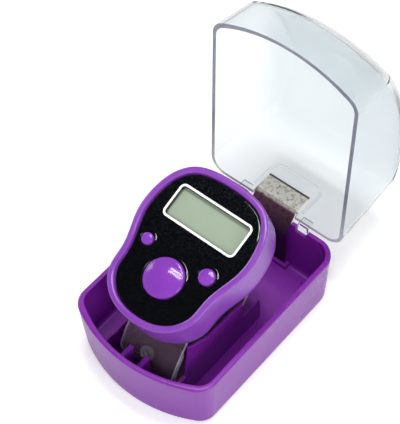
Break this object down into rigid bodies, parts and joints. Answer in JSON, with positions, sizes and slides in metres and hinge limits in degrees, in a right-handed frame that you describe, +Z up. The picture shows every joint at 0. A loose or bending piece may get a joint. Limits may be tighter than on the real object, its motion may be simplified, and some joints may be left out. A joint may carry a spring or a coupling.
{
  "type": "digital finger counter in case",
  "caption": "Electronic tally counter with display, buttons and finger strap, in a flip-top case with a clear lid.",
  "frame": {"origin": "centre of the case tray's flat underside", "axes": "+Z up from the underside, +X to the right across the case, -Y towards its bowed front"},
  "size_m": [0.0458, 0.0955, 0.0824],
  "materials": {
    "purple_moulded_plastic": "gloss",
    "clear_polystyrene": "clear gloss",
    "clear_soft_vinyl": "clear satin",
    "black_gloss_acrylic": "gloss",
    "grey_green_display": "satin",
    "white_diffusing_acrylic": "satin",
    "grey_elastomer": "matt",
    "board_green": "satin",
    "black_epoxy": "satin",
    "spring_steel": "satin",
    "nickel_plate": "bright",
    "contact_brass": "satin"
  },
  "bodies": {
    "base": {"base_tray": "purple_moulded_plastic", "snap_spring": "spring_steel"},
    "lid": {"lid": "clear_polystyrene"},
    "counter": {"upper_shell": "purple_moulded_plastic", "lower_shell": "purple_moulded_plastic", "front_panel": "black_gloss_acrylic", "lcd_glass": "grey_green_display", "light_guide": "white_diffusing_acrylic", "backlight_led": "white_diffusing_acrylic", "zebra_strip": "grey_elastomer", "circuit_board": "board_green", "chip_blob": "black_epoxy", "count_switch": "nickel_plate", "reset_switch": "nickel_plate", "light_switch": "nickel_plate", "battery_cell": "nickel_plate", "battery_door": "purple_moulded_plastic", "battery_door_screw": "nickel_plate", "battery_contact_negative": "contact_brass", "battery_contact_positive": "contact_brass", "case_screw_1": "nickel_plate", "case_screw_2": "nickel_plate", "case_screw_3": "nickel_plate", "case_screw_4": "nickel_plate", "strap_front": "clear_soft_vinyl", "strap_rear": "clear_soft_vinyl"},
    "count_button": {"count_button": "purple_moulded_plastic"},
    "reset_button": {"reset_button": "purple_moulded_plastic"},
    "light_button": {"light_button": "purple_moulded_plastic"}
  },
  "joints": [
    {"name": "lid_hinge", "type": "hinge", "parent": "base", "child": "lid", "pos_m": [0, 0.0286, 0.01915], "axis": [-1, 0, 0], "range_deg": [-92, 0], "deforming": ["snap_spring"]},
    {"name": "counter_lift", "type": "slide", "parent": "base", "child": "counter", "axis": [0, 0, 1], "range_m": [0, 0.03]},
    {"name": "count_press", "type": "slide", "parent": "counter", "child": "count_button", "axis": [0, 0.3453, -0.9385], "range_m": [0, 0.0006], "stiffness_N_per_m": 2000, "springref_m": -0.0003},
    {"name": "reset_press", "type": "slide", "parent": "counter", "child": "reset_button", "axis": [0, 0.3453, -0.9385], "range_m": [0, 0.0006], "stiffness_N_per_m": 1500, "springref_m": -0.0003},
    {"name": "light_press", "type": "slide", "parent": "counter", "child": "light_button", "axis": [0, 0.3453, -0.9385], "range_m": [0, 0.0006], "stiffness_N_per_m": 1500, "springref_m": -0.0003}
  ]
}
